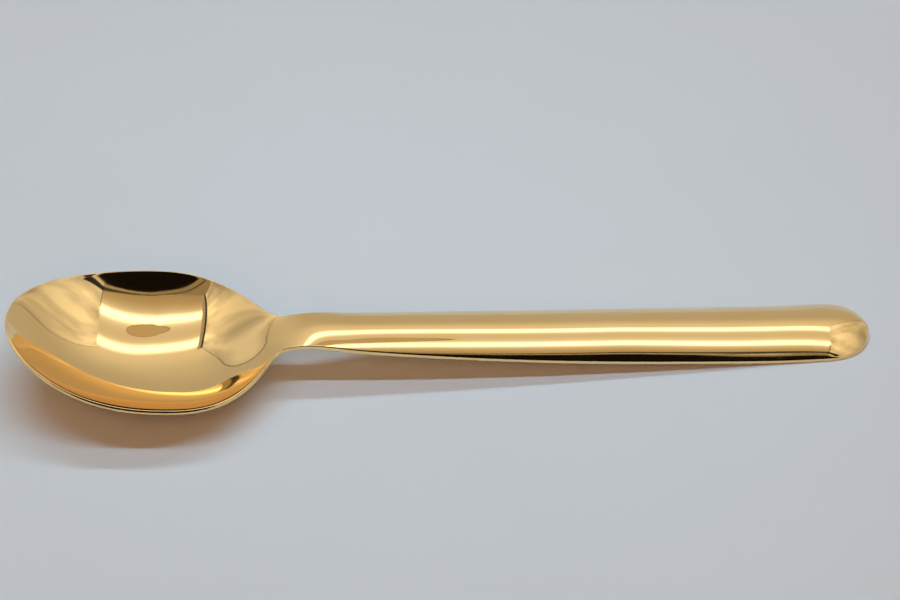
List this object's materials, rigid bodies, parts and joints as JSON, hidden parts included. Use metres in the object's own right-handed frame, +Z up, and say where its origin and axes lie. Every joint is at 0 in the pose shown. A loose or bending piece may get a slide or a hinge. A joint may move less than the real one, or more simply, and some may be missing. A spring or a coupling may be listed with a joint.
{
  "type": "spoon",
  "caption": "Table spoon with a deep oval bowl, an arched neck and a handle with a rounded top that widens towards its rounded end, forged in steel and plated in polished gold.",
  "frame": {"origin": "middle of the overall length, on the surface that the spoon lies on", "axes": "+X from the bowl tip to the handle end, +Y across the bowl, +Z up out of the open side of the bowl"},
  "size_m": [0.2, 0.0476, 0.0206],
  "materials": {
    "steel": "plain forged steel under the plating",
    "gold": null
  },
  "bodies": {
    "root": {"steel_blank": "steel", "gold_plating": "gold"}
  },
  "joints": []
}
